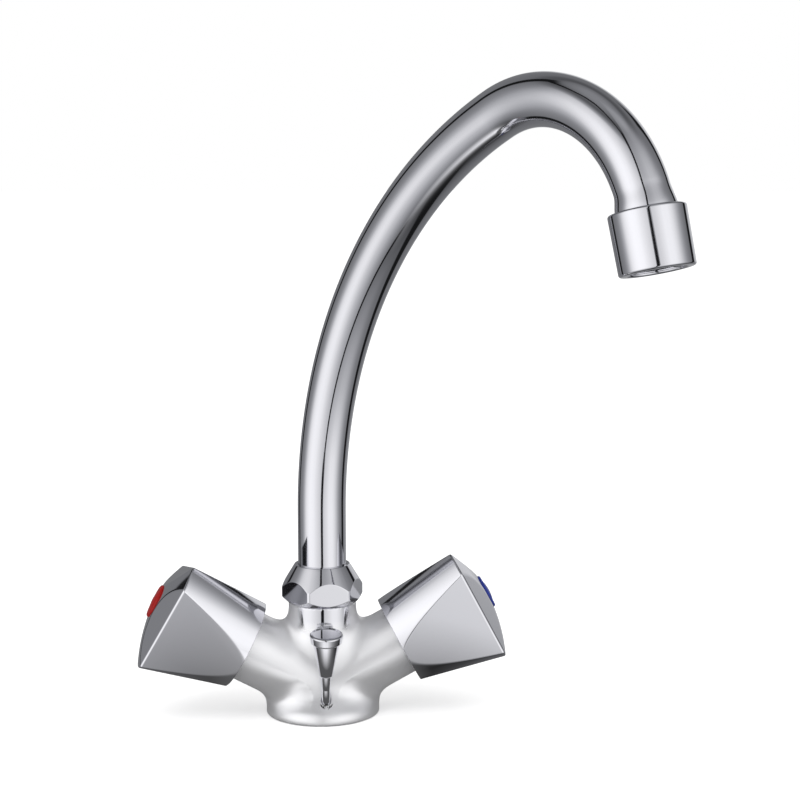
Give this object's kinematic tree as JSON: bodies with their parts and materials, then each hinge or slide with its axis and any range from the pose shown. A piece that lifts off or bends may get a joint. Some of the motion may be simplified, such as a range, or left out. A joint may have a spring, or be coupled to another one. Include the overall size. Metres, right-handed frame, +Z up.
{
  "type": "basin mixer tap",
  "caption": "Deck-mounted basin mixer tap: swan-neck swivel spout with an aerator, raised side arms with three-cornered quarter-turn handles, and a lift rod for the waste.",
  "frame": {"origin": "centre of the round base, on the deck plane that the base stands on", "axes": "+Z up along the swivel axis, +Y away from the user, -X towards the hot arm and +X towards the cold arm; the spout is stored swung 36 degrees from the front towards +X, as in the picture"},
  "size_m": [0.2154, 0.2023, 0.2908],
  "materials": {
    "polished_chrome": "polished chrome plate",
    "machined_brass": "bare turned brass",
    "stainless_steel": "plain stainless steel",
    "red_plastic": "glossy red acetal",
    "blue_plastic": "glossy blue acetal",
    "white_acetal": "natural white acetal",
    "grey_plastic": "matt grey acetal",
    "black_rubber": "black nitrile rubber",
    "white_ceramic": "lapped alumina ceramic",
    "red_fibre": "pressed fibre"
  },
  "bodies": {
    "base": {"body": "polished_chrome", "base_gasket": "black_rubber", "rod_bush": "white_acetal", "spout_nut": "polished_chrome", "lower_slip_washer": "white_acetal", "upper_slip_ring": "white_acetal", "hot_disc_seal": "black_rubber", "hot_fixed_disc": "white_ceramic", "hot_headwork_body": "machined_brass", "hot_headwork_washer": "red_fibre", "cold_disc_seal": "black_rubber", "cold_fixed_disc": "white_ceramic", "cold_headwork_body": "machined_brass", "cold_headwork_washer": "red_fibre"},
    "spout": {"spout_tube": "polished_chrome", "spout_foot": "machined_brass", "lower_foot_ring": "black_rubber", "upper_foot_ring": "black_rubber", "outlet_collar": "polished_chrome", "aerator_gasket": "black_rubber", "aerator_housing": "polished_chrome", "aerator_insert": "grey_plastic", "aerator_screen": "stainless_steel"},
    "hot_control": {"hot_handle": "polished_chrome", "hot_handle_insert": "white_acetal", "hot_handle_screw": "stainless_steel", "hot_index_button": "red_plastic", "hot_spindle": "machined_brass", "hot_turning_disc": "white_ceramic", "hot_spindle_ring": "black_rubber", "hot_spindle_clip": "stainless_steel"},
    "cold_control": {"cold_handle": "polished_chrome", "cold_handle_insert": "white_acetal", "cold_handle_screw": "stainless_steel", "cold_index_button": "blue_plastic", "cold_spindle": "machined_brass", "cold_turning_disc": "white_ceramic", "cold_spindle_ring": "black_rubber", "cold_spindle_clip": "stainless_steel"},
    "waste_lift": {"lift_rod": "polished_chrome", "lift_knob": "polished_chrome"}
  },
  "joints": [
    {"name": "spout_swivel", "type": "hinge", "parent": "base", "child": "spout", "pos_m": [0, 0, 0.06], "axis": [0, 0, 1], "continuous": true},
    {"name": "hot_turn", "type": "hinge", "parent": "base", "child": "hot_control", "pos_m": [0, 0, 0.0136], "axis": [-0.8829, 0, 0.4695], "range_deg": [0, 90]},
    {"name": "cold_turn", "type": "hinge", "parent": "base", "child": "cold_control", "pos_m": [0, 0, 0.0136], "axis": [0.8829, 0, 0.4695], "range_deg": [0, 90]},
    {"name": "waste_lift", "type": "slide", "parent": "base", "child": "waste_lift", "axis": [0, -0.1495, 0.9888], "range_m": [0, 0.006]}
  ]
}
